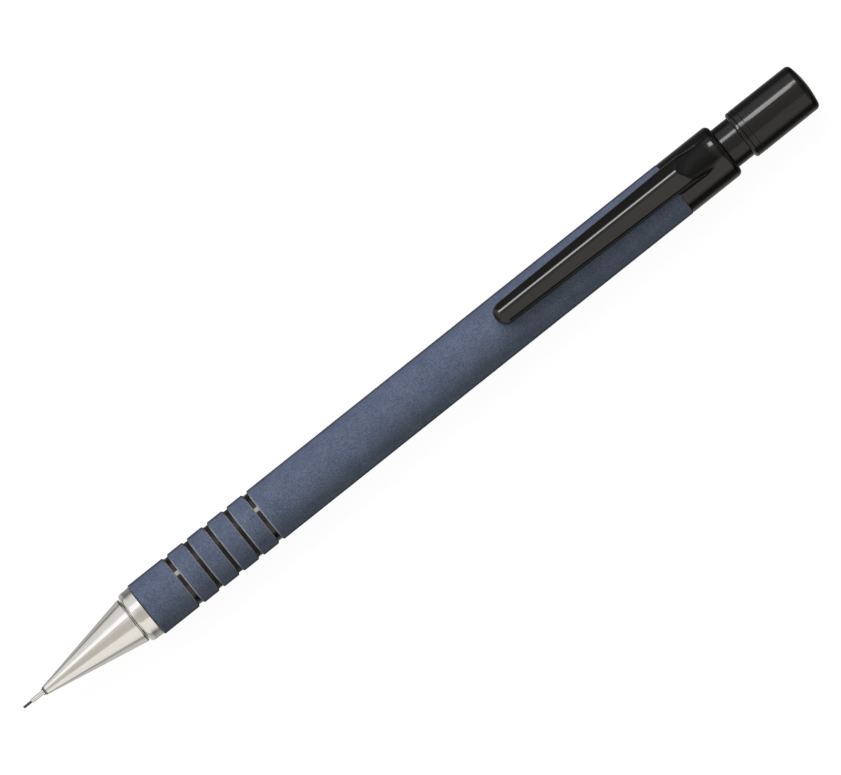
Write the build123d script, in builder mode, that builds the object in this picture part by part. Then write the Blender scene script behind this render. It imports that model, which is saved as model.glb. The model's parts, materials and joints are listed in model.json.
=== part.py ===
from build123d import *
import os
from math import asin, cos, degrees, radians, sin

# A mechanical pencil for 0.3 mm leads, in millimetres: a screwed-on metal tip, a grooved
# barrel, a spring clip and a push cap over an eraser, and inside them the chuck with its
# clutch ring and return spring. It lies along X, writing tip at -X, clip straight up.
# Every place along the pencil is a station, counted from the point of the lead.

length = 140.0
barrel_radius = 4.28

# Clearances, each on the radius
running_gap = 0.05
press_gap = 0.02
sleeve_gap = 0.02
grip_gap = 0.01
rim_break = 0.08
seam_break = 0.03
end_chamfer = 0.16

# Lead, and the spare leads that lie in the tank
lead_radius = 0.19
lead_length = 60.0
lead_point_chamfer = 0.09
spare_lead_front = 56.0
spare_lead_count = 4

# Thin steel sleeve that the lead leaves by
sleeve_front = 1.4
sleeve_end = 8.2
sleeve_radius = 0.32

# Tip cone: outside, from the small nose at its front to the screwed spigot
nose_front = 3.35
nose_radius = 0.48
cone_front = 3.65
cone_front_radius = 0.6
cone_start = 4.0
cone_start_radius = 0.70
cone_end = 19.8
cone_half_angle = 10.63
cone_rear_round = 0.35
spigot_end = 26.0
spigot_radius = 3.0
thread_relief_depth = 0.3
thread_relief_length = 1.0

# Tip cone: inside, from the retainer's pocket to the clutch ring's chamber
retainer_front = 8.6
retainer_end = 10.8
retainer_radius = 0.85
retainer_funnel = 0.35
jaw_chamber_front = 11.2
jaw_chamber_front_radius = 1.45
jaw_chamber_wide = 12.3
jaw_chamber_radius = 1.75
ring_stop = 15.05
ring_chamber_radius = 2.35

# Chuck: three jaws on a shank, squeezed shut by the clutch ring
jaw_front = 14.2
jaw_nose_radius = 1.15
jaw_nose_length = 0.35
jaw_head_radius = 1.45
jaw_taper_start = 15.2
jaw_taper_end = 18.2
jaw_arm_radius = 1.05
jaw_grip_end = 16.6
jaw_relief_start = 17.0
jaw_end = 21.4
jaw_slot = 0.24
jaw_count = 3
shank_front = 21.45
shank_end = 38.0
shank_radius = 1.1
shank_bore = 0.45
ring_front = 16.1
ring_end = 18.3
ring_radius = 2.25
ring_bore = 1.37

# Threaded bush in the barrel's front, with the bright flange that shows
flange_front = 19.88
flange_front_radius = 3.55
flange_shoulder = 20.6
flange_shoulder_radius = 4.03
flange_rear_radius = 4.08
bush_radius = 3.55
bush_end = 31.0
thread_end = 27.2

# Spring housing and return spring
housing_front = 18.4
housing_end = 42.5
housing_radius = 2.3
housing_bore = 2.0
housing_wall = 1.0
housing_hole = 1.2
spring_front = 19.6
spring_end = 33.3
spring_radius = 1.62
spring_wire = 0.35
spring_turns = 11

# Connector between the shank and the lead tank
connector_front = 33.5
connector_step = 45.4
connector_end = 50.0
connector_radius = 1.94
connector_funnel_start = 44.0
connector_funnel_radius = 1.75

# Lead tank
tank_front = 45.6
tank_end = 124.4
tank_radius = 2.6
tank_bore = 2.1

# Barrel, with five bare grooves round the grip
barrel_front = 21.8
barrel_end = 116.4
barrel_bore = 3.3
groove_count = 5
groove_first = 28.55
groove_pitch = 3.55
groove_width = 0.62
groove_depth = 0.27
groove_flare = 0.2
barrel_front_chamfer = 0.2
barrel_rear_chamfer = 0.08
tenon_radius = 3.8
tenon_end = 123.2

# Collar behind the barrel, which carries the clip
collar_radius = 4.24
collar_end = 125.4
collar_rear_round = 0.84
collar_hole = 3.3
collar_socket_end = 123.4

# Clip: a roof-shaped blade with a nearly flat crown, its heights measured from the axis
clip_tip = 85.4
clip_split = 117.0
clip_split_gap = 0.04
clip_ridge = 7.0
clip_crown_half_width = 0.3
clip_crown_drop = 0.034
clip_roof_slope = 0.705
clip_skirt = 4.5
clip_pocket_top = 5.3
clip_pocket_front = 91.5
clip_pocket_end = 116.2
clip_wall = 0.75
clip_tip_half_width = 1.63
clip_split_half_width = 2.2
clip_tip_round = 1.4
clip_eaves_round = 0.3
clip_spare_width = 0.45
clip_pad_start = 86.8
clip_pad_end = 90.8
clip_pad_half_width = 0.9
clip_pad_gap = 0.12

# Root that carries the clip on the collar, its ridge cut off by a long slope
root_half_width = 2.36
root_ridge_end = 118.0
root_slope = ((119.0, 6.15), (120.4, 5.35), (122.6, 4.7), (124.4, 4.42), (125.1, 4.1))

# Eraser holder: skirt on the tank, flange, and a tube for the eraser and the cap
skirt_front = 118.6
skirt_radius = 3.23
holder_flange_front = 128.15
holder_flange_end = 129.75
holder_flange_radius = 3.76
holder_flange_round = 0.45
ring_cut_station = 128.85
ring_cut_depth = 0.07
holder_tube_end = 134.5
holder_tube_radius = 3.05
holder_web_end = 126.6

# Eraser and push cap
eraser_end = 138.0
eraser_radius = 2.49
eraser_gap = 0.03
eraser_round = 0.35
cap_front = 129.78
cap_front_radius = 3.76
cap_rear_radius = 3.73
cap_shoulder = 139.5
cap_corner_round = 0.8
cap_bore = 3.1
cap_ceiling = 138.9

side = Plane(origin=(-length / 2, 0, barrel_radius), x_dir=(1, 0, 0), z_dir=(0, -1, 0))
plan = Plane(origin=(-length / 2, 0, barrel_radius), x_dir=(1, 0, 0), z_dir=(0, 0, 1))
pencil_axis = Axis((-length / 2, 0, barrel_radius), (1, 0, 0))


def across(station):
    """The plane square to the pencil at a station, looking forward from the tip, y up."""
    origin = (station - length / 2, 0, barrel_radius)
    return Plane(origin=origin, x_dir=(0, 1, 0), z_dir=(1, 0, 0))


def turn(*outline, mode=Mode.ADD):
    """Turn a closed outline of (station, radius) points about the pencil's axis."""
    with BuildSketch(side) as section:
        with BuildLine():
            Polyline(*outline, close=True)
        make_face()
    revolve(section.sketch, axis=pencil_axis, mode=mode)


def tube(front, end, radius, bore):
    """Turn a plain tube."""
    turn((front, bore), (front, radius), (end, radius), (end, bore))


def rim(piece, station, radius):
    """The circular edge of a turned piece at this station and radius."""
    x = station - length / 2
    return piece.edges().filter_by(
        lambda edge: edge.geom_type == GeomType.CIRCLE
        and abs(edge.arc_center.X - x) < 0.001
        and abs(edge.radius - radius) < 0.001
    )


def write(piece, name):
    """Label a finished piece and write it as its own STEP file."""
    piece.part.label = name
    export_step(piece.part, f"parts/{name}.step")


os.makedirs("parts", exist_ok=True)

# ---- Writing end ----

with BuildPart() as lead:
    tube(0, lead_length, lead_radius, 0)
    chamfer(rim(lead, 0, lead_radius), lead_point_chamfer)
write(lead, "lead")

sleeve_bore = lead_radius + sleeve_gap
with BuildPart() as lead_sleeve:
    tube(sleeve_front, sleeve_end, sleeve_radius, sleeve_bore)
    fillet(rim(lead_sleeve, sleeve_front, sleeve_radius), (sleeve_radius - sleeve_bore) / 2)
write(lead_sleeve, "lead_sleeve")

cone_slope = sin(radians(cone_half_angle)) / cos(radians(cone_half_angle))
cone_end_radius = cone_start_radius + (cone_end - cone_start) * cone_slope
sleeve_hole = sleeve_radius + press_gap
retainer_pocket = retainer_radius + press_gap
with BuildPart() as tip_cone:
    turn(
        (nose_front, sleeve_hole),
        (nose_front, nose_radius),
        (cone_front, nose_radius),
        (cone_front, cone_front_radius),
        (cone_start, cone_start_radius),
        (cone_end, cone_end_radius),
        (cone_end, spigot_radius - thread_relief_depth),
        (cone_end + thread_relief_length, spigot_radius - thread_relief_depth),
        (cone_end + thread_relief_length, spigot_radius),
        (spigot_end, spigot_radius),
        (spigot_end, ring_chamber_radius),
        (ring_stop, ring_chamber_radius),
        (ring_stop, jaw_chamber_radius),
        (jaw_chamber_wide, jaw_chamber_radius),
        (jaw_chamber_front, jaw_chamber_front_radius),
        (jaw_chamber_front, retainer_pocket),
        (retainer_front, retainer_pocket),
        (retainer_front, sleeve_hole),
    )
    fillet(rim(tip_cone, cone_end, cone_end_radius), cone_rear_round)
    chamfer(rim(tip_cone, spigot_end, spigot_radius), thread_relief_depth)
    fillet(rim(tip_cone, nose_front, nose_radius), rim_break)
write(tip_cone, "tip_cone")

with BuildPart() as lead_retainer:
    tube(retainer_front + press_gap, retainer_end, retainer_radius, lead_radius + grip_gap)
    chamfer(rim(lead_retainer, retainer_end, lead_radius + grip_gap), retainer_funnel)
write(lead_retainer, "lead_retainer")

# ---- Chuck: the jaws are one brass collet sawn into three, each hinged at its root ----

for number in range(1, jaw_count + 1):
    jaw_angle = 90 + 360 / jaw_count * (number - 1)
    with BuildPart() as chuck_jaw:
        turn(
            (jaw_front, lead_radius + grip_gap),
            (jaw_front, jaw_nose_radius),
            (jaw_front + jaw_nose_length, jaw_head_radius),
            (jaw_taper_start, jaw_head_radius),
            (jaw_taper_end, jaw_arm_radius),
            (jaw_end, jaw_arm_radius),
            (jaw_end, shank_bore),
            (jaw_relief_start, shank_bore),
            (jaw_grip_end, lead_radius + grip_gap),
        )
        for turned in (90 - 180 / jaw_count, 180 / jaw_count - 90):
            # A saw cut runs along each side of the jaw, half of it taken from this jaw
            angle = radians(jaw_angle + turned)
            into_jaw = Vector(0, cos(angle), sin(angle))
            cut_origin = Vector(0, 0, barrel_radius) + into_jaw * (jaw_slot / 2)
            split(bisect_by=Plane(origin=cut_origin, z_dir=into_jaw), keep=Keep.TOP)
    write(chuck_jaw, f"chuck_jaw_{number}")

with BuildPart() as chuck_shank:
    tube(shank_front, shank_end, shank_radius, shank_bore)
    chamfer(rim(chuck_shank, shank_end, shank_bore), rim_break)
write(chuck_shank, "chuck_shank")

with BuildPart() as clutch_ring:
    tube(ring_front, ring_end, ring_radius, ring_bore)
    chamfer(rim(clutch_ring, ring_front, ring_radius), end_chamfer)
    chamfer(rim(clutch_ring, ring_end, ring_radius), end_chamfer)
    chamfer(rim(clutch_ring, ring_end, ring_bore), rim_break)
write(clutch_ring, "clutch_ring")

# ---- Bush, housing and spring ----

thread_bore = spigot_radius + running_gap
with BuildPart() as front_bush:
    with BuildSketch(side):
        with BuildLine():
            Polyline(
                (flange_front, flange_front_radius),
                (flange_front, thread_bore),
                (thread_end, thread_bore),
                (thread_end, housing_radius + press_gap),
                (bush_end, housing_radius + press_gap),
                (bush_end, bush_radius),
                (barrel_front, bush_radius),
                (barrel_front, flange_rear_radius),
                (flange_shoulder, flange_shoulder_radius),
            )
            shoulder_slope = flange_rear_radius - flange_shoulder_radius
            Spline(
                (flange_shoulder, flange_shoulder_radius),
                (flange_front, flange_front_radius),
                tangents=((flange_shoulder - barrel_front, -shoulder_slope), (0, -1)),
            )
        make_face()
    revolve(axis=pencil_axis)
    chamfer(rim(front_bush, bush_end, bush_radius), end_chamfer)
write(front_bush, "front_bush")

with BuildPart() as spring_housing:
    turn(
        (housing_front, housing_hole),
        (housing_front, housing_radius),
        (housing_end, housing_radius),
        (housing_end, housing_bore),
        (housing_front + housing_wall, housing_bore),
        (housing_front + housing_wall, housing_hole),
    )
    chamfer(rim(spring_housing, housing_end, housing_bore), end_chamfer)
write(spring_housing, "spring_housing")

coil_length = spring_end - spring_front - spring_wire
coil_start = (spring_front + spring_wire / 2 - length / 2, 0, barrel_radius)
with BuildPart() as return_spring:
    with BuildLine():
        coil = Helix(
            coil_length / spring_turns, coil_length, spring_radius, coil_start, (1, 0, 0)
        )
    with BuildSketch(Plane(origin=coil @ 0, z_dir=coil % 0)):
        Circle(spring_wire / 2)
    sweep(path=coil, is_frenet=True)
write(return_spring, "return_spring")

# ---- Connector, tank and spare leads ----

with BuildPart() as chuck_connector:
    turn(
        (connector_front, shank_radius + press_gap),
        (connector_front, connector_radius),
        (connector_step, connector_radius),
        (connector_step, tank_bore - press_gap),
        (connector_end, tank_bore - press_gap),
        (connector_end, connector_funnel_radius),
        (connector_funnel_start, shank_bore),
        (shank_end + rim_break, shank_bore),
        (shank_end + rim_break, shank_radius + press_gap),
    )
    chamfer(rim(chuck_connector, connector_front, connector_radius), end_chamfer)
write(chuck_connector, "chuck_connector")

with BuildPart() as lead_tank:
    tube(tank_front, tank_end, tank_radius, tank_bore)
    chamfer(rim(lead_tank, tank_front, tank_radius), end_chamfer)
write(lead_tank, "lead_tank")

# The spare leads lie side by side along the bottom of the tank's bore.
lying_radius = tank_bore - lead_radius - press_gap
lying_step = degrees(2 * asin((lead_radius + grip_gap) / lying_radius))
lying_first = 270 - lying_step * (spare_lead_count - 1) / 2
with BuildPart() as spare_leads:
    with BuildSketch(across(spare_lead_front)):
        with PolarLocations(
            lying_radius,
            spare_lead_count,
            start_angle=lying_first,
            angular_range=lying_step * (spare_lead_count - 1),
            endpoint=True,
        ):
            Circle(lead_radius)
    extrude(amount=lead_length)
write(spare_leads, "spare_leads")

# ---- Barrel ----

grooved_outside = []
for number in range(groove_count):
    groove_front = groove_first + number * groove_pitch - groove_width / 2
    groove_rear = groove_front + groove_width
    grooved_outside += [
        (groove_front - groove_flare, barrel_radius),
        (groove_front, barrel_radius - groove_depth),
        (groove_rear, barrel_radius - groove_depth),
        (groove_rear + groove_flare, barrel_radius),
    ]
bush_socket_radius = bush_radius + press_gap
bush_socket_end = bush_end + running_gap
with BuildPart() as barrel:
    turn(
        (barrel_front, bush_socket_radius),
        (barrel_front, barrel_radius),
        *grooved_outside,
        (barrel_end, barrel_radius),
        (barrel_end, tenon_radius),
        (tenon_end, tenon_radius),
        (tenon_end, barrel_bore),
        (bush_socket_end, barrel_bore),
        (bush_socket_end, bush_socket_radius),
    )
    chamfer(rim(barrel, barrel_front, barrel_radius), barrel_front_chamfer)
    chamfer(rim(barrel, barrel_end, barrel_radius), barrel_rear_chamfer)
    chamfer(rim(barrel, tenon_end, tenon_radius), end_chamfer)
write(barrel, "barrel")

# ---- Clip and its collar ----


def roof(front, end, bottom):
    """Extrude the clip's roof-shaped section from one station to another."""
    half = clip_split_half_width + clip_spare_width
    crown = clip_crown_half_width
    crown_edge = clip_ridge - clip_crown_drop
    eaves = crown_edge - clip_roof_slope * (half - crown)
    with BuildSketch(across(front)) as section:
        with BuildLine():
            Polyline(
                (-half, bottom),
                (-half, eaves),
                (-crown, crown_edge),
                (0, clip_ridge),
                (crown, crown_edge),
                (half, eaves),
                (half, bottom),
                close=True,
            )
        make_face()
    extrude(section.sketch, amount=end - front)


with BuildPart() as clip_blade:
    blade_end = clip_split - clip_split_gap
    roof(clip_tip, blade_end, clip_skirt)
    with BuildSketch(plan):
        with BuildLine():
            tip_centre = clip_tip + clip_tip_half_width
            left_of_tip = (tip_centre, clip_tip_half_width)
            right_of_tip = (tip_centre, -clip_tip_half_width)
            ThreePointArc(left_of_tip, (clip_tip, 0), right_of_tip)
            Polyline(
                right_of_tip,
                (clip_split, -clip_split_half_width),
                (clip_split, clip_split_half_width),
                left_of_tip,
            )
        make_face()
    extrude(amount=clip_ridge, mode=Mode.INTERSECT)
    with BuildSketch(side):
        with BuildLine():
            RadiusArc(
                (clip_tip, clip_ridge - clip_tip_round),
                (clip_tip + clip_tip_round, clip_ridge),
                clip_tip_round,
            )
            Polyline(
                (clip_tip + clip_tip_round, clip_ridge),
                (clip_split, clip_ridge),
                (clip_split, clip_skirt),
                (clip_tip, clip_skirt),
                (clip_tip, clip_ridge - clip_tip_round),
            )
        make_face()
    extrude(amount=clip_split_half_width, both=True, mode=Mode.INTERSECT)
    eaves = edges().filter_by(GeomType.LINE).filter_by(
        lambda edge: clip_skirt + barrel_radius < edge.center().Z < clip_ridge + barrel_radius
        and edge.length > clip_pocket_end - clip_pocket_front
        and abs(edge.center().Y) > clip_tip_half_width
    )
    fillet(eaves, clip_eaves_round)
    with BuildSketch(plan.offset(clip_skirt)):
        with BuildLine():
            Polyline(
                (clip_pocket_front, clip_tip_half_width - clip_wall),
                (clip_pocket_end, clip_split_half_width - clip_wall),
                (clip_pocket_end, clip_wall - clip_split_half_width),
                (clip_pocket_front, clip_wall - clip_tip_half_width),
                close=True,
            )
        make_face()
    extrude(amount=clip_pocket_top - clip_skirt, mode=Mode.SUBTRACT)
    with BuildSketch(side):
        with BuildLine():
            pad_ends = ((clip_pad_start, clip_skirt), (clip_pad_end, clip_skirt))
            pad_middle = (clip_pad_start + clip_pad_end) / 2
            ThreePointArc(pad_ends[0], (pad_middle, barrel_radius + clip_pad_gap), pad_ends[1])
            Line(pad_ends[1], pad_ends[0])
        make_face()
    extrude(amount=clip_pad_half_width, both=True)
write(clip_blade, "clip_blade")

with BuildPart() as clip_root:
    roof(clip_split, collar_end, 0)
    with BuildSketch(plan):
        with BuildLine():
            Polyline(
                (clip_split, -clip_split_half_width),
                (clip_split, clip_split_half_width),
                (collar_end, root_half_width),
                (collar_end, -root_half_width),
                close=True,
            )
        make_face()
    extrude(amount=clip_ridge, mode=Mode.INTERSECT)
    with BuildSketch(side):
        with BuildLine():
            Polyline(
                (collar_end, 0),
                (clip_split, 0),
                (clip_split, clip_ridge),
                (root_ridge_end, clip_ridge),
            )
            Spline((root_ridge_end, clip_ridge), *root_slope)
            Line(root_slope[-1], (collar_end, 0))
        make_face()
    extrude(amount=2 * root_half_width, both=True, mode=Mode.INTERSECT)

with BuildPart() as clip_collar:
    tube(barrel_end, collar_end, collar_radius, 0)
    fillet(rim(clip_collar, collar_end, collar_radius), collar_rear_round)
    add(clip_root.part)
    turn(
        (barrel_end, 0),
        (barrel_end, tenon_radius + press_gap),
        (collar_socket_end, tenon_radius + press_gap),
        (collar_socket_end, collar_hole),
        (collar_end, collar_hole),
        (collar_end, 0),
        mode=Mode.SUBTRACT,
    )
write(clip_collar, "clip_collar")

# ---- Push end ----

with BuildPart() as eraser_holder:
    turn(
        (skirt_front, tank_radius + press_gap),
        (skirt_front, skirt_radius),
        (holder_flange_front, skirt_radius),
        (holder_flange_front, holder_flange_radius),
        (ring_cut_station - ring_cut_depth, holder_flange_radius),
        (ring_cut_station, holder_flange_radius - ring_cut_depth),
        (ring_cut_station + ring_cut_depth, holder_flange_radius),
        (holder_flange_end, holder_flange_radius),
        (holder_flange_end, holder_tube_radius),
        (holder_tube_end, holder_tube_radius),
        (holder_tube_end, eraser_radius + eraser_gap),
        (holder_web_end, eraser_radius + eraser_gap),
        (holder_web_end, tank_bore),
        (tank_end + press_gap, tank_bore),
        (tank_end + press_gap, tank_radius + press_gap),
    )
    fillet(rim(eraser_holder, holder_flange_front, holder_flange_radius), holder_flange_round)
    fillet(rim(eraser_holder, holder_flange_end, holder_flange_radius), seam_break)
    chamfer(rim(eraser_holder, holder_tube_end, holder_tube_radius), end_chamfer)
write(eraser_holder, "eraser_holder")

with BuildPart() as eraser:
    tube(holder_web_end + running_gap, eraser_end, eraser_radius, 0)
    fillet(rim(eraser, eraser_end, eraser_radius), eraser_round)
write(eraser, "eraser")

with BuildPart() as push_cap:
    with BuildSketch(side):
        with BuildLine():
            shoulder = (cap_shoulder, cap_rear_radius)
            Polyline(
                (length, 0),
                (cap_ceiling, 0),
                (cap_ceiling, cap_bore),
                (cap_front, cap_bore),
                (cap_front, cap_front_radius),
                shoulder,
            )
            TangentArc((length, 0), shoulder, tangent=(0, 1))
        make_face()
    revolve(axis=pencil_axis)
    fillet(rim(push_cap, cap_shoulder, cap_rear_radius), cap_corner_round)
    chamfer(rim(push_cap, cap_front, cap_front_radius), seam_break)
write(push_cap, "push_cap")
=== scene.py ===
import json
import math

import bmesh
import bpy
import numpy as np
from mathutils import Matrix, Vector


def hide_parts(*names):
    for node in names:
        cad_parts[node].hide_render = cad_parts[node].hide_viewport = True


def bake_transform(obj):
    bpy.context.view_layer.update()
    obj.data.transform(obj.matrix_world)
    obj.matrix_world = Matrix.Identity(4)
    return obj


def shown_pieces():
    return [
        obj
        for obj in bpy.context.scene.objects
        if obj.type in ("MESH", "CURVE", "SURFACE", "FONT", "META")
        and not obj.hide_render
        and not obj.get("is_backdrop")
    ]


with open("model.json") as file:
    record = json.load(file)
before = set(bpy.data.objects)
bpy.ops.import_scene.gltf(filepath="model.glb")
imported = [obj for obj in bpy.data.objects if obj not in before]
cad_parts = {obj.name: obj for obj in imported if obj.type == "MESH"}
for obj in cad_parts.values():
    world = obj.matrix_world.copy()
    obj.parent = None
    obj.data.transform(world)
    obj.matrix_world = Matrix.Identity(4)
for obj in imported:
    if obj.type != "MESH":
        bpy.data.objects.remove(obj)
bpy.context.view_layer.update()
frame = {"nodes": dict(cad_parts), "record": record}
nodes = frame["nodes"]

MM = 0.001
LENGTH = 140 * MM
AXIS_HEIGHT = 4.28 * MM
BARREL_RADIUS = 4.28 * MM


def station(mm):
    """World x of a place on the pencil, given in mm from the point of the lead."""
    return mm * MM - LENGTH / 2


def add_node(tree, kind, inputs=(), **settings):
    """Add a shader node. inputs maps a socket's name or number to a value or a node's output."""
    made = tree.nodes.new("ShaderNode" + kind)
    for key, value in settings.items():
        setattr(made, key, value)
    for key, value in dict(inputs).items():
        if isinstance(value, bpy.types.NodeSocket):
            tree.links.new(value, made.inputs[key])
        else:
            made.inputs[key].default_value = value
    return made


def colour_ramp(tree, factor, stops):
    """A colour ramp with (position, colour) stops."""
    made = add_node(tree, "ValToRGB", {"Fac": factor})
    elements = made.color_ramp.elements
    while len(elements) < len(stops):
        elements.new(0.5)
    for element, (position, colour) in zip(elements, stops):
        element.position = position
        element.color = (*colour, 1)
    return made.outputs["Color"]


def mix_colours(tree, share, first, second):
    """Mix the output first with second, which is an output or a colour, by a share of 0 to 1."""
    made = add_node(tree, "Mix", {"Factor": share}, data_type="RGBA")
    tree.links.new(first, made.inputs["A"])
    if isinstance(second, bpy.types.NodeSocket):
        tree.links.new(second, made.inputs["B"])
    else:
        made.inputs["B"].default_value = (*second, 1)
    return made.outputs["Result"]


# ---------------------------------------------------------------- materials


# Nearly all of a noise's values lie between these two.
NOISE_LOW, NOISE_HIGH = 0.3, 0.7


class Finish:
    """A Principled material together with the nodes that feed it."""

    def __init__(self, name, **sockets):
        self.material = bpy.data.materials.new(name)
        self.material.use_nodes = True
        self.tree = self.material.node_tree
        self.shader = self.tree.nodes["Principled BSDF"]
        self.place = self.tree.nodes.new("ShaderNodeTexCoord").outputs["Object"]
        for socket, value in sockets.items():
            self.shader.inputs[socket.replace("_", " ")].default_value = value

    def node(self, kind, inputs=(), **settings):
        return add_node(self.tree, kind, inputs, **settings)

    def link(self, output, socket):
        self.tree.links.new(output, self.shader.inputs[socket])

    def noise(self, size, detail=2.0, stretch=(1, 1, 1), roughness=0.5):
        """Noise with features about size metres across, drawn out where a stretch is under 1."""
        mapped = self.node("Mapping", {"Vector": self.place, "Scale": stretch}).outputs[0]
        made = self.node(
            "TexNoise",
            {"Vector": mapped, "Scale": 1 / size, "Detail": detail, "Roughness": roughness},
        )
        return made.outputs["Fac"]

    def ramp(self, factor, *stops):
        return colour_ramp(self.tree, factor, stops)

    def shade(self, factor, dark, pale):
        """A colour that goes from dark to pale over most of a noise's range."""
        return self.ramp(factor, (NOISE_LOW, dark), (NOISE_HIGH, pale))

    def span(self, factor, low, high, start=NOISE_LOW, end=NOISE_HIGH):
        """Turn a factor between start and end into a number between low and high."""
        made = self.node(
            "MapRange",
            {"Value": factor, "From Min": start, "From Max": end, "To Min": low, "To Max": high},
        )
        return made.outputs["Result"]

    def maths(self, operation, first, second=0.0):
        return self.node("Math", {0: first, 1: second}, operation=operation).outputs[0]

    def bump(self, height, depth, strength, under=None):
        """Bump by a height of 0 to 1, depth metres deep, on top of an earlier bump."""
        inputs = {"Height": height, "Distance": depth, "Strength": strength}
        if under is not None:
            inputs["Normal"] = under
        return self.node("Bump", inputs).outputs["Normal"]


SPECKLE_SIZE, SPECKLE_SHARE, SPECKLE_DEPTH = 0.24 * MM, 0.75, 0.012 * MM
MOTTLE_SIZE = 2.4 * MM
# Painted shade: seen nearly edge on, the matt coat's colour is darkened towards this.
PAINTED_RIM_SHADE = (0.012, 0.013, 0.016)
RIM_SHARE, RIM_FROM, RIM_TO = 0.75, 0.6, 0.78


def soft_coat(name, shades, roughness):
    """Matt, slightly rubbery paint with a fine speckle, a faint sheen and painted shade that
    darkens its colour near the silhouettes.
    """
    finish = Finish(name, Sheen_Weight=0.02, Sheen_Roughness=0.5, Specular_IOR_Level=0.12)
    finish.shader.inputs["Sheen Tint"].default_value = (0.5, 0.42, 1.0, 1)
    speckle = finish.noise(SPECKLE_SIZE, detail=3, roughness=0.65)
    mottle = finish.noise(MOTTLE_SIZE, detail=2)
    mixed = finish.maths("MULTIPLY_ADD", speckle, SPECKLE_SHARE)
    mottle_share = finish.maths("MULTIPLY", mottle, 1 - SPECKLE_SHARE)
    finish.tree.links.new(mottle_share, mixed.node.inputs[2])
    # Painted shade: the colour darkens where the coat is seen nearly edge on.
    edge_on = finish.node("LayerWeight", {"Blend": 0.5}).outputs["Facing"]
    rim = finish.span(edge_on, 0.0, RIM_SHARE, start=RIM_FROM, end=RIM_TO)
    colour = mix_colours(finish.tree, rim, finish.ramp(mixed, *shades), PAINTED_RIM_SHADE)
    finish.link(colour, "Base Color")
    finish.link(finish.span(mottle, roughness, roughness + 0.1), "Roughness")
    finish.link(finish.bump(speckle, SPECKLE_DEPTH, 0.6), "Normal")
    return finish.material


def black_plastic(name, low, high, shade=0.0035, gloss=0.5):
    """Black moulded plastic, with a slight unevenness and fine scratches along the pencil."""
    finish = Finish(name, IOR=1.5, Specular_IOR_Level=gloss)
    smear = finish.noise(3.0 * MM, detail=4, stretch=(0.4, 1, 1))
    scratch = finish.noise(0.05 * MM, detail=2, stretch=(0.04, 1, 1))
    dark, pale = (shade, shade * 0.95, shade * 0.9), (shade * 1.5, shade * 1.45, shade * 1.35)
    finish.link(finish.shade(smear, dark, pale), "Base Color")
    finish.link(finish.span(smear, low, high), "Roughness")
    wave = finish.bump(smear, 0.003 * MM, 0.3)
    finish.link(finish.bump(scratch, 0.00015 * MM, 0.5, under=wave), "Normal")
    return finish.material


DARK_RING_COLOUR = (0.05, 0.03, 0.02)
TURNED_DEPTH = 0.00012 * MM


def turned_metal(name, pale, dark, roughness, mark=0.06 * MM, dark_rings=()):
    """Metal turned on a lathe: fine rings round the pencil's axis and faint handling marks.

    Its last argument lists the (station in mm, half width in mm) of rings whose colour is darkened
    towards dark brown."""
    finish = Finish(name, Metallic=1.0)
    rings = finish.noise(mark, detail=2, stretch=(1, 0.02, 0.02))
    smear = finish.noise(1.6 * MM, detail=3)
    colour = finish.shade(smear, dark, pale)
    # Each listed ring darkens the colour towards the dark brown.
    for place, reach in dark_rings:
        x = finish.node("SeparateXYZ", {0: finish.place}).outputs["X"]
        away = finish.maths("ABSOLUTE", finish.maths("SUBTRACT", x, station(place)))
        share = finish.span(away, 1.0, 0.0, start=reach * MM / 2, end=reach * MM)
        colour = mix_colours(finish.tree, share, colour, DARK_RING_COLOUR)
    finish.link(colour, "Base Color")
    finish.link(finish.span(smear, roughness, roughness * 1.4), "Roughness")
    finish.link(finish.bump(rings, TURNED_DEPTH, 0.6), "Normal")
    return finish.material


def moulded(name, dark, pale, low, high, grain=0.3 * MM, depth=0.002 * MM):
    """Plain moulded plastic or rubber with a fine grain."""
    finish = Finish(name)
    cloud = finish.noise(1.8 * MM, detail=3)
    fine = finish.noise(grain, detail=3)
    finish.link(finish.shade(cloud, dark, pale), "Base Color")
    finish.link(finish.span(cloud, low, high), "Roughness")
    finish.link(finish.bump(fine, depth, 0.6), "Normal")
    return finish.material


COAT_SHADES = (
    (0.37, (0.047, 0.060, 0.090)),
    (0.5, (0.066, 0.082, 0.119)),
    (0.64, (0.091, 0.111, 0.151)),
)
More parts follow.
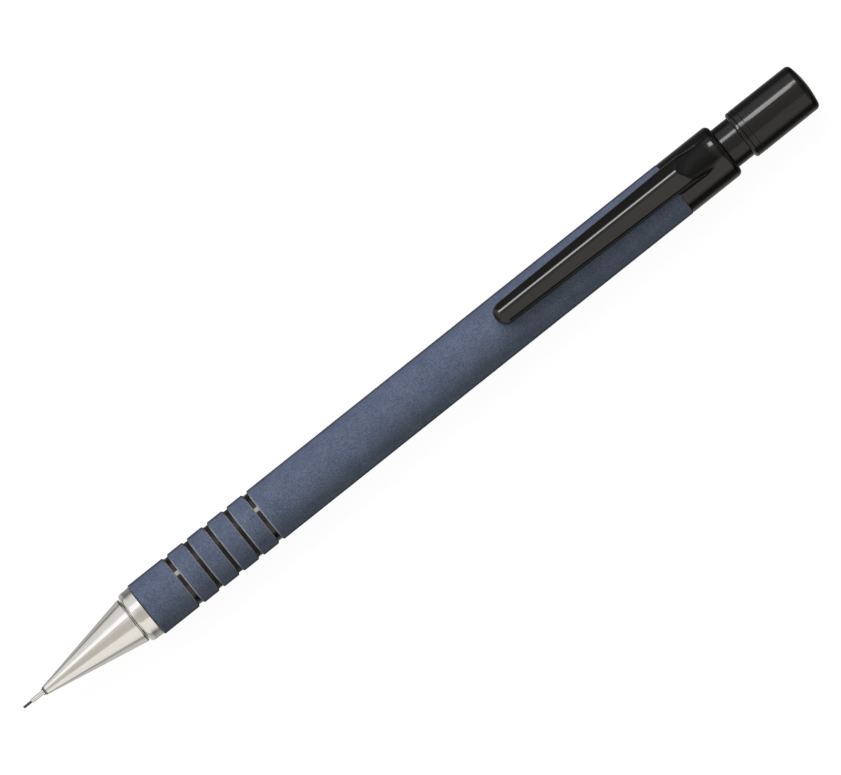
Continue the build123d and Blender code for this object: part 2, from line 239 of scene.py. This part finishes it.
# Painted highlight: the paler coat on the grooves' sloping sides and the coat's rear edge.
PAINTED_HIGHLIGHT_SHADES = (
    (0.3, (0.13, 0.135, 0.15)),
    (0.5, (0.19, 0.195, 0.21)),
    (0.72, (0.26, 0.265, 0.28)),
)
CHROME = ((0.82, 0.805, 0.78), (0.77, 0.755, 0.725))
materials = {
    "soft_coat": soft_coat("soft_coat", COAT_SHADES, 0.62),
    "black_plastic": black_plastic("black_plastic", 0.07, 0.1),
    "bright_chrome": turned_metal("bright_chrome", *CHROME, 0.13),
    "steel_tube": turned_metal(
        "steel_tube", (0.95, 0.94, 0.92), (0.88, 0.87, 0.84), 0.3, mark=0.03 * MM
    ),
    "spring_steel": turned_metal(
        "spring_steel", (0.60, 0.60, 0.61), (0.50, 0.50, 0.51), 0.25, mark=0.04 * MM
    ),
    "brass": turned_metal("brass", (0.86, 0.66, 0.33), (0.76, 0.55, 0.25), 0.2),
    "retainer_rubber": moulded(
        "retainer_rubber", (0.02, 0.02, 0.022), (0.035, 0.035, 0.038), 0.6, 0.8
    ),
    "white_plastic": moulded("white_plastic", (0.72, 0.72, 0.70), (0.80, 0.80, 0.78), 0.35, 0.5),
    "tank_plastic": moulded("tank_plastic", (0.55, 0.56, 0.57), (0.64, 0.65, 0.66), 0.3, 0.42),
    "eraser_rubber": moulded(
        "eraser_rubber", (0.78, 0.77, 0.74), (0.86, 0.85, 0.83), 0.7, 0.9, depth=0.008 * MM
    ),
    "graphite": moulded(
        "graphite", (0.018, 0.018, 0.02), (0.03, 0.03, 0.033), 0.35, 0.5, grain=0.05 * MM
    ),
}
satin_black = black_plastic("satin_black", 0.45, 0.52, gloss=0.25)
cap_black = black_plastic("cap_black", 0.12, 0.16, gloss=0.42)
painted_highlight_coat = soft_coat("painted_highlight_coat", PAINTED_HIGHLIGHT_SHADES, 0.45)
# The tip gets two darker rings near its front.
tip_chrome = turned_metal("tip_chrome", *CHROME, 0.13, dark_rings=[(3.69, 0.12), (3.88, 0.07)])

for part in frame["record"]["subparts"]:
    node = nodes[part["node"]]
    node.data.materials.clear()
    node.data.materials.append(materials[part["material_slot"]])
nodes["push_cap"].data.materials[0] = cap_black
nodes["eraser_holder"].data.materials[0] = cap_black
nodes["tip_cone"].data.materials[0] = tip_chrome

# The coat stops at the grooves and the ends, where the black moulding is bare. The grooves'
# sloping sides and the coat's rear edge get a paler coat, a painted highlight for the light lines
# along those edges.
GROOVE_FIRST, GROOVE_PITCH, GROOVE_COUNT = 28.55, 3.55, 5
GROOVE_BOTTOM_RADIUS = BARREL_RADIUS - 0.26 * MM
GROOVE_SEARCH_RADIUS = BARREL_RADIUS - 0.4 * MM
COATED_RADIUS = BARREL_RADIUS - 0.02 * MM
COAT_EDGE_RADIUS = BARREL_RADIUS - 0.01 * MM
REAR_HALF = 100
barrel = nodes["barrel"]
BARE, SATIN, HIGHLIGHT_SLOT = 1, 2, 3
for extra in (materials["black_plastic"], satin_black, painted_highlight_coat):
    barrel.data.materials.append(extra)
for face in barrel.data.polygons:
    corners = [barrel.data.vertices[v].co for v in face.vertices]
    radii = [math.hypot(corner.y, corner.z - AXIS_HEIGHT) for corner in corners]
    place = (sum(corner.x for corner in corners) / len(corners) + LENGTH / 2) / MM
    if min(radii) > COATED_RADIUS:
        continue
    groove = round((place - GROOVE_FIRST) / GROOVE_PITCH)
    if not 0 <= groove < GROOVE_COUNT or max(radii) < GROOVE_SEARCH_RADIUS:
        # The coat's rear edge gets the painted highlight.
        rear_highlight = place > REAR_HALF and max(radii) > COAT_EDGE_RADIUS
        face.material_index = HIGHLIGHT_SLOT if rear_highlight else BARE
    elif max(radii) > GROOVE_BOTTOM_RADIUS:
        face.material_index = HIGHLIGHT_SLOT
    else:
        face.material_index = BARE if groove in (0, GROOVE_COUNT - 1) else SATIN

# ---------------------------------------------------------------- pieces in mesh code


SHARP_EDGE = math.radians(40)
SAME_PLACE = 1e-7


def finish_piece(name, bm, slot):
    """Turn a bmesh into a smooth-shaded object with the finish of a material slot."""
    bmesh.ops.remove_doubles(bm, verts=bm.verts, dist=SAME_PLACE)
    bmesh.ops.recalc_face_normals(bm, faces=bm.faces)
    for face in bm.faces:
        face.smooth = True
    for edge in bm.edges:
        edge.smooth = edge.calc_face_angle(0) < SHARP_EDGE
    mesh = bpy.data.meshes.new(name)
    bm.to_mesh(mesh)
    bm.free()
    piece = bpy.data.objects.new(name, mesh)
    bpy.context.scene.collection.objects.link(piece)
    mesh.materials.append(materials[slot])
    return piece


def bridge(bm, first, second, closed=False):
    """Join two rows of vertices with faces."""
    count = len(first)
    for i in range(count if closed else count - 1):
        j = (i + 1) % count
        ring = [first[i], first[j], second[j], second[i]]
        distinct = [v for n, v in enumerate(ring) if v not in ring[:n]]
        if len(distinct) > 2:
            bm.faces.new(distinct)


# Clip, root and collar are one moulding. All its sizes are in mm, stations from the lead's
# point, heights from the pencil's axis.
CLIP_TIP, CLIP_NOSE, CLIP_SPLIT = 85.4, 1.63, 117.0
CLIP_HALF, ROOT_HALF = 2.2, 2.36
CLIP_RIDGE, ROOF_SLOPE = 7.0, 0.705
CROWN_HALF, CROWN_DROP = 0.32, 0.043
CLIP_SKIRT, POCKET_TOP, CLIP_WALL = 4.5, 5.3, 0.75
POCKET = (91.5, 116.2)
PAD = (86.8, 90.8)
PAD_HALF, PAD_DEPTH = 0.9, 0.1
TIP_TOP_ROUND = 2.1
COLLAR_FRONT, COLLAR_END, COLLAR_RADIUS = 116.4, 125.4, 4.24
COLLAR_ROUND, COLLAR_EDGE = 0.84, 0.08
SOCKET = ((125.4, 3.3), (123.4, 3.3), (123.4, 3.82), (116.4, 3.82))
# The root's slope starts just above the ridge and dies away towards the collar's top. Its
# section is an arch, and it rounds over at the collar's rear.
ROOT_START, ROOT_START_TOP, ROOT_LOW, ROOT_REACH = 117.85, 7.25, 4.0, 2.96
ROOT_ARCH_RADIUS, ROOT_END_ROUND = 7.0, 1.0
# How wide the corners are rounded: along the crown's sides, where the root's slope meets the
# roof, along the eaves (at the clip's end of the root and further back) and into the collar.
CROWN_BLEND, TOP_BLEND, COLLAR_BLEND = 0.03, 0.12, 0.3
EAVES_STATIONS, EAVES_BLENDS = [118, 121.5], [0.55, 1.1]
# The share of a height error on the root's slope that is distance from its surface.
SLOPE_LEVEL = 0.8
# Rays for finding the surface run between these radii, and are halved this many times.
RAY_NEAR, RAY_FAR, RAY_HALVINGS = 1.0, 9.0, 40


def smooth_max(a, b, width):
    """The larger of two numbers, rounded over where they are nearly equal."""
    near = np.maximum(width - np.abs(a - b), 0) / width
    return np.maximum(a, b) + near * near * width / 4


def clip_half(s):
    """Half the width of the clip and its root."""
    nose = np.sqrt(np.maximum(CLIP_NOSE**2 - (CLIP_NOSE - (s - CLIP_TIP)) ** 2, 1e-6))
    ends = [CLIP_TIP + CLIP_NOSE, CLIP_SPLIT, COLLAR_END]
    return np.where(s < ends[0], nose, np.interp(s, ends, [CLIP_NOSE, CLIP_HALF, ROOT_HALF]))


def rounded_end(distance, radius):
    """How far a quarter circle drops the surface this far from the end."""
    short = np.clip(radius - distance, 0, radius)
    return radius - np.sqrt(radius**2 - short**2)


def clip_top(s, y):
    """Height that the rounded tip and the root's slope cut the roof down to."""
    along = np.maximum(s - ROOT_START, 0)
    slope = ROOT_LOW + (ROOT_START_TOP - ROOT_LOW) * np.exp(-along / ROOT_REACH)
    arch = y**2 / (2 * ROOT_ARCH_RADIUS) * np.clip(along, 0, 1)
    ends = rounded_end(s - CLIP_TIP, TIP_TOP_ROUND) + rounded_end(COLLAR_END - s, ROOT_END_ROUND)
    return slope - arch - ends


def roof_height(y):
    """The roof's section: two steep facets and a nearly flat crown between them."""
    y = np.abs(y)
    crown = CLIP_RIDGE - CROWN_DROP * y / CROWN_HALF
    facet = CLIP_RIDGE - CROWN_DROP - ROOF_SLOPE * (y - CROWN_HALF)
    return -smooth_max(-crown, -facet, CROWN_BLEND)


def collar_radius(s):
    """The collar's outside, with a rounded rear rim and a small chamfer at the front."""
    rear = np.maximum(s - (COLLAR_END - COLLAR_ROUND), 0)
    rounded = COLLAR_RADIUS - COLLAR_ROUND + np.sqrt(np.maximum(COLLAR_ROUND**2 - rear**2, 0))
    return rounded - np.maximum(COLLAR_EDGE - (s - COLLAR_FRONT), 0)


def outside(s, y, z, with_collar):
    """Below zero inside the moulding, above zero outside."""
    level = math.cos(math.atan(ROOF_SLOPE))
    top = smooth_max((z - roof_height(y)) * level, (z - clip_top(s, y)) * SLOPE_LEVEL, TOP_BLEND)
    eaves_blend = np.interp(s, EAVES_STATIONS, EAVES_BLENDS)
    body = smooth_max(top, np.abs(y) - clip_half(s), eaves_blend)
    body = np.maximum(body, collar_radius(s) / 2 - z)
    if not with_collar:
        return body
    return -smooth_max(-body, collar_radius(s) - np.hypot(y, z), COLLAR_BLEND)


def moulding_rows(stations, angles, with_collar):
    """Find the moulding's surface along rays from the pencil's axis; angles[station, column]."""
    s = np.repeat(np.array(stations)[:, None], angles.shape[1], 1)
    near, far = np.full(s.shape, RAY_NEAR), np.full(s.shape, RAY_FAR)
    for _ in range(RAY_HALVINGS):
        middle = (near + far) / 2
        inside = outside(s, middle * np.sin(angles), middle * np.cos(angles), with_collar) < 0
        near, far = np.where(inside, middle, near), np.where(inside, far, middle)
    return near


# Mesh columns on one side: crown, facet, eaves and skirt, then down the collar to below
CLIP_COLUMNS = [10, 9, 9, 4]
COLLAR_COLUMNS = [3, 6, 44]
SKIRT_COLUMN = sum(CLIP_COLUMNS)
LAST_COLUMN = SKIRT_COLUMN + sum(COLLAR_COLUMNS)
# The columns crowd round the ridge and, this far before and after, round the eaves
RIDGE_REACH = 0.1
BEFORE_EAVES, AFTER_EAVES = math.radians(3.5), math.radians(1.6)
# Least angles from the eaves to the skirt and from there to the collar's corner, and the
# angles that the corner's columns take in on its two sides
LEAST_SKIRT, LEAST_FOOT = 0.02, 0.03
ABOVE_FOOT, BELOW_FOOT = 0.02, 0.07


def column_angles(s):
    """Angles of the mesh columns on one side, from straight up to straight down."""
    half = float(clip_half(s))
    eaves_height = min(float(roof_height(half)), float(clip_top(s, 0.0)))
    crown = min(CROWN_HALF, 0.3 * half)
    ridge = math.atan2(crown + RIDGE_REACH, CLIP_RIDGE)
    eaves = math.atan2(half, eaves_height)
    skirt = math.atan2(half, CLIP_SKIRT)
    if s > CLIP_SPLIT:
        skirt = max(skirt, eaves + LEAST_SKIRT)
    foot = max(math.asin(min(half / COLLAR_RADIUS, 1)), skirt + LEAST_FOOT)
    before = min(BEFORE_EAVES, 0.4 * (eaves - ridge))
    after = min(AFTER_EAVES, 0.6 * (skirt - eaves))
    marks = [0, ridge, eaves - before, eaves + after, skirt, foot - ABOVE_FOOT, foot + BELOW_FOOT]
    marks.append(math.pi)
    counts = CLIP_COLUMNS + COLLAR_COLUMNS
    spans = [np.linspace(a, b, n, endpoint=False) for a, b, n in zip(marks, marks[1:], counts)]
    return np.concatenate([*spans, [math.pi]])


def underside_height(s, y):
    """The blade's underside, with the pad near its tip and the hollow behind it."""
    if POCKET[0] < s < POCKET[1] and abs(y) < float(clip_half(s)) - CLIP_WALL:
        return POCKET_TOP
    pad_middle, pad_reach = sum(PAD) / 2, (PAD[1] - PAD[0]) / 2
    in_pad = max(0.0, 1 - ((s - pad_middle) / pad_reach) ** 2)
    return CLIP_SKIRT - PAD_DEPTH * in_pad * max(0.0, 1 - (y / PAD_HALF) ** 2)


def clip_moulding():
    """The clip and its collar as one moulding."""
    bm = bmesh.new()
    # Rows of vertices are close together wherever the section changes quickly.
    nose_turn = np.radians(np.linspace(5, 90, 20))
    blade_stations = np.concatenate([
        CLIP_TIP + CLIP_NOSE * (1 - np.cos(nose_turn)),
        np.arange(87.3, POCKET[0], 0.3),
        [POCKET[0] - 0.04, POCKET[0] + 0.04],
        np.arange(93, 111.5, 1.5),
        np.arange(111.5, 116.1, 0.35),
        [POCKET[1] - 0.04, POCKET[1] + 0.04, COLLAR_FRONT],
    ])
    rear_turn = np.radians(np.linspace(0, 90, 12))
    collar_stations = np.concatenate([
        [COLLAR_FRONT, COLLAR_FRONT + 0.04, COLLAR_FRONT + COLLAR_EDGE, 116.8, 117.3, 117.7],
        np.linspace(117.95, COLLAR_END - COLLAR_ROUND, 64, endpoint=False),
        COLLAR_END - COLLAR_ROUND + COLLAR_ROUND * np.sin(rear_turn),
    ])

    def vertex(s, y, z):
        return bm.verts.new((station(s), y * MM, AXIS_HEIGHT + z * MM))

    def surface(stations, columns, with_collar):
        """Rows of vertices on the outside, this many columns to each side, and their angles."""
        sides = [column_angles(s)[: columns + 1] for s in stations]
        angles = np.array([np.concatenate([-side[:0:-1], side]) for side in sides])
        radii = moulding_rows(stations, angles, with_collar)
        rows = [
            [vertex(s, r * math.sin(a), r * math.cos(a)) for r, a in zip(row, turn)]
            for s, row, turn in zip(stations, radii, angles)
        ]
        return rows, angles

    # The collar's first and last columns both lie straight below, so one of them goes. The
    # blade's last row is the part of the collar's first row between the skirts.
    collar, collar_angles = surface(collar_stations, LAST_COLUMN, True)
    collar = [row[:-1] for row in collar]
    blade, blade_angles = surface(blade_stations[:-1], SKIRT_COLUMN, False)
    between_skirts = slice(LAST_COLUMN - SKIRT_COLUMN, LAST_COLUMN + SKIRT_COLUMN + 1)
    blade.append(collar[0][between_skirts])
    blade_angles = np.vstack([blade_angles, collar_angles[0][between_skirts]])
    for first, second in zip(blade, blade[1:]):
        bridge(bm, first, second)

    underside = []
    for s, row, turn in zip(blade_stations, blade, blade_angles):
        across = [CLIP_SKIRT * math.tan(a) for a in turn[1:-1]]
        line = [vertex(s, y, underside_height(s, y)) for y in across]
        underside.append([row[0], *line, row[-1]])
    for first, second in zip(underside, underside[1:]):
        bridge(bm, second, first)
    bm.faces.new([*blade[0], *reversed(underside[0][1:-1])])

    # The collar, its rear face and its socket
    for first, second in zip(collar, collar[1:]):
        bridge(bm, first, second, closed=True)
    last = collar[-1]
    for s, radius in SOCKET:
        around = collar_angles[-1][:-1]
        ring = [vertex(s, radius * math.sin(a), radius * math.cos(a)) for a in around]
        bridge(bm, last, ring, closed=True)
        last = ring
    front = list(collar[0])
    front[between_skirts] = underside[-1]
    bridge(bm, last, front, closed=True)

    piece = finish_piece("clip_moulding", bm, "black_plastic")
    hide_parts("clip_blade", "clip_collar")
    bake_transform(piece)


def coil_spring():
    """The return spring, wound close at both ends. Sizes are in mm."""
    bm = bmesh.new()
    turns, closed_turns, opening_turns = 11, 1.25, 0.5
    per_turn, around = 36, 10
    radius, wire = 1.62, 0.17
    seat_gap, coil_gap = 0.01, 0.02
    front, end = 19.6 + wire + seat_gap, 33.3 - wire - seat_gap
    close_pitch = 2 * wire + coil_gap
    open_pitch = (end - front - 2 * closed_turns * close_pitch) / (turns - 2 * closed_turns)
    rows = []
    x = front
    for step in range(turns * per_turn + 1):
        turn = step / per_turn
        from_end = min(turn, turns - turn)
        opened = np.clip((from_end - closed_turns) / opening_turns + 0.5, 0, 1)
        pitch = close_pitch + (open_pitch - close_pitch) * opened
        if step:
            x += pitch / per_turn
        a = 2 * math.pi * turn
        outward = Vector((0, math.cos(a), math.sin(a)))
        round_turn = 2 * math.pi * radius
        forward = Vector((pitch, -math.sin(a) * round_turn, math.cos(a) * round_turn)).normalized()
        side = forward.cross(outward)
        centre = Vector((x, 0, 0)) + radius * outward
        ring = []
        for k in range(around):
            b = 2 * math.pi * k / around
            point = centre + wire * (math.cos(b) * outward + math.sin(b) * side)
            ring.append(bm.verts.new((station(point.x), point.y * MM, AXIS_HEIGHT + point.z * MM)))
        rows.append(ring)
    for first, second in zip(rows, rows[1:]):
        bridge(bm, first, second, closed=True)
    bm.faces.new(rows[0])
    bm.faces.new(reversed(rows[-1]))
    piece = finish_piece("coil_spring", bm, "spring_steel")
    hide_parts("return_spring")
    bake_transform(piece)


clip_moulding()
coil_spring()

# ---------------------------------------------------------------- stage and light

FLOOR_REACH = 3.0
floor_mesh = bpy.data.meshes.new("floor")
floor_corners = [
    (-FLOOR_REACH, -FLOOR_REACH, 0),
    (FLOOR_REACH, -FLOOR_REACH, 0),
    (FLOOR_REACH, FLOOR_REACH, 0),
    (-FLOOR_REACH, FLOOR_REACH, 0),
]
floor_mesh.from_pydata(floor_corners, [], [(0, 1, 2, 3)])
floor = bpy.data.objects.new("floor", floor_mesh)
bpy.context.scene.collection.objects.link(floor)
floor.visible_glossy = False
floor.visible_diffuse = False
paper = Finish("paper", Roughness=0.9)
paper.shader.inputs["Base Color"].default_value = (0.06, 0.06, 0.06, 1)
paper.shader.inputs["Emission Color"].default_value = (1, 1, 1, 1)
paper.shader.inputs["Emission Strength"].default_value = 0.95
floor_mesh.materials.append(paper.material)
floor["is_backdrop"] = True

CAMERA_TILT = math.radians(14.5)
CAMERA_ROLL = math.radians(38.56)
CAMERA_DISTANCE = 3.0
SENSOR_WIDTH = 36
# The width of the field at the pencil, and the middle of the picture from the pencil's middle,
# to the right and up in the picture and across the pencil
FIELD_WIDTH = 0.11762
AIM_RIGHT, AIM_UP, AIM_ACROSS = 0.80 * MM, 1.09 * MM, 0.07 * MM

world = bpy.data.worlds.new("studio")
bpy.context.scene.world = world
world.use_nodes = True
sky = world.node_tree
background = sky.nodes["Background"]

# Long panels beside the pencil: the world's brightness goes by the angle round the X axis,
# counted from straight up towards +Y, so the ramp runs from -180 to 180 degrees.
direction = add_node(sky, "TexCoord").outputs["Generated"]
toward = add_node(sky, "SeparateXYZ", {0: direction}).outputs
round_x = add_node(sky, "Math", {0: toward["Y"], 1: toward["Z"]}, operation="ARCTAN2").outputs[0]
turn_share = add_node(
    sky, "MapRange", {"Value": round_x, "From Min": -math.pi, "From Max": math.pi}
).outputs["Result"]


def ramp_place(degrees_from_camera):
    """Where an angle from the camera's direction falls on the world's ramps."""
    from_up = -degrees_from_camera - math.degrees(CAMERA_TILT)
    return ((from_up + 180) % 360) / 360


def ring_of_panels(panels):
    """A ramp of (degrees from the camera's direction, colour), positive on its lower right."""
    stops = sorted((ramp_place(angle), colour) for angle, colour in panels)
    return colour_ramp(sky, turn_share, stops)


# What the barrel, the collar and the cap mirror
beside = ring_of_panels([
    (-180, (0.30, 0.30, 0.29)),
    (-150, (0.30, 0.29, 0.28)),
    (-138, (0.13, 0.12, 0.11)),
    (-128, (0.09, 0.09, 0.09)),
    (-100, (0.09, 0.09, 0.09)),
    (-90, (0.52, 0.52, 0.52)),
    (-80, (0.78, 0.78, 0.80)),
    (-56, (0.84, 0.84, 0.87)),
    (-50, (1.20, 1.20, 1.20)),
    (-34, (1.20, 1.20, 1.20)),
    (-22, (0.75, 0.73, 0.70)),
    (-10, (0.54, 0.52, 0.48)),
    (26, (0.52, 0.49, 0.44)),
    (31, (1.00, 0.96, 0.90)),
    (72, (0.98, 0.94, 0.87)),
    (82, (0.60, 0.57, 0.53)),
    (93, (0.05, 0.05, 0.05)),
    (116, (0.05, 0.05, 0.05)),
    (126, (0.22, 0.22, 0.21)),
    (140, (0.36, 0.36, 0.34)),
    (165, (0.36, 0.36, 0.34)),
])
# What the tip cone mirrors, because it faces forward
ahead = ring_of_panels([
    (-180, (0.55, 0.54, 0.52)),
    (-122, (0.52, 0.51, 0.50)),
    (-114, (0.24, 0.22, 0.20)),
    (-108, (0.24, 0.22, 0.20)),
    (-100, (0.76, 0.75, 0.74)),
    (-56, (0.84, 0.84, 0.87)),
    (-50, (1.25, 1.25, 1.25)),
    (-34, (1.25, 1.25, 1.25)),
    (-22, (0.82, 0.80, 0.77)),
    (-10, (0.60, 0.57, 0.53)),
    (26, (0.60, 0.57, 0.52)),
    (31, (1.00, 0.97, 0.92)),
    (88, (0.95, 0.92, 0.87)),
    (98, (0.40, 0.38, 0.35)),
    (106, (0.34, 0.32, 0.30)),
    (116, (0.60, 0.60, 0.58)),
    (150, (0.62, 0.62, 0.60)),
])
AHEAD_FROM, AHEAD_TO = -0.02, -0.12
facing_ahead = add_node(
    sky, "MapRange", {"Value": toward["X"], "From Min": AHEAD_FROM, "From Max": AHEAD_TO}
).outputs["Result"]
sky.links.new(mix_colours(sky, facing_ahead, beside, ahead), background.inputs["Color"])
# The panels end behind the pencil's middle, so the clip's root mirrors darker surroundings.
PANELS_FADE_FROM, PANELS_END, BEYOND_PANELS = 0.1, 0.33, 0.26
fade = add_node(sky, "MapRange", {
    "Value": toward["X"],
    "From Min": PANELS_FADE_FROM,
    "From Max": PANELS_END,
    "To Min": 1.0,
    "To Max": BEYOND_PANELS,
}).outputs["Result"]
sky.links.new(fade, background.inputs["Strength"])

LAMP_DISTANCE, LAMP_LENGTH = 0.8, 1.0


def lamp(name, angle, width, watts, colour=(1, 1, 1)):
    """A long soft lamp parallel to the pencil, angle degrees from the camera's direction."""
    from_up = math.radians(-angle) - CAMERA_TILT
    data = bpy.data.lights.new(name, "AREA")
    data.shape, data.size, data.size_y = "RECTANGLE", LAMP_LENGTH, width
    data.energy, data.color = watts, colour
    made = bpy.data.objects.new(name, data)
    side, height = LAMP_DISTANCE * math.sin(from_up), LAMP_DISTANCE * math.cos(from_up)
    made.location = (0, side, AXIS_HEIGHT + height)
    made.rotation_euler = (-from_up, 0, 0)
    bpy.context.scene.collection.objects.link(made)
    return made


# The key lamp's hard glint is kept off the chrome, which mirrors the panels instead.
KEY_WIDTH, KEY_AHEAD, SOFT_WIDTH = 0.15, 0.25, 0.4
CHROME_PIECES = ("tip_cone", "front_bush", "lead_sleeve")
key = lamp("key", -43.5, KEY_WIDTH, 3.9)
key.location.x = -KEY_AHEAD
lit_by_key = bpy.data.collections.new("lit_by_key")
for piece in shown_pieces():
    if piece.name not in CHROME_PIECES:
        lit_by_key.objects.link(piece)
key.light_linking.receiver_collection = lit_by_key
# Two lamps that colour the coat's two sides and don't show in reflections.
for name, angle, watts, colour in (
    ("soft", -50, 4.5, (0.93, 0.93, 1.10)),
    ("fill", 50, 1.1, (0.85, 1.05, 0.95)),
):
    lamp(name, angle, SOFT_WIDTH, watts, colour).visible_glossy = False

camera_data = bpy.data.cameras.new("camera")
camera = bpy.data.objects.new("camera", camera_data)
bpy.context.scene.collection.objects.link(camera)
bpy.context.scene.camera = camera
back = Vector((0, -math.sin(CAMERA_TILT), math.cos(CAMERA_TILT)))
along = Vector((1, 0, 0))
across = back.cross(along)
right = math.cos(CAMERA_ROLL) * along - math.sin(CAMERA_ROLL) * across
up = math.sin(CAMERA_ROLL) * along + math.cos(CAMERA_ROLL) * across
middle = Vector((0, 0, AXIS_HEIGHT))
target = middle + AIM_RIGHT * right + AIM_UP * up + AIM_ACROSS * across
camera_data.sensor_width = SENSOR_WIDTH
camera_data.lens = SENSOR_WIDTH * CAMERA_DISTANCE / FIELD_WIDTH
camera_data.clip_start, camera_data.clip_end = 0.05, 20
rotation = Matrix((right, up, back)).transposed().to_4x4()
camera.matrix_world = Matrix.Translation(target + back * CAMERA_DISTANCE) @ rotation

view_settings = bpy.context.scene.view_settings
view_settings.view_transform = "Standard"
view_settings.look = "None"
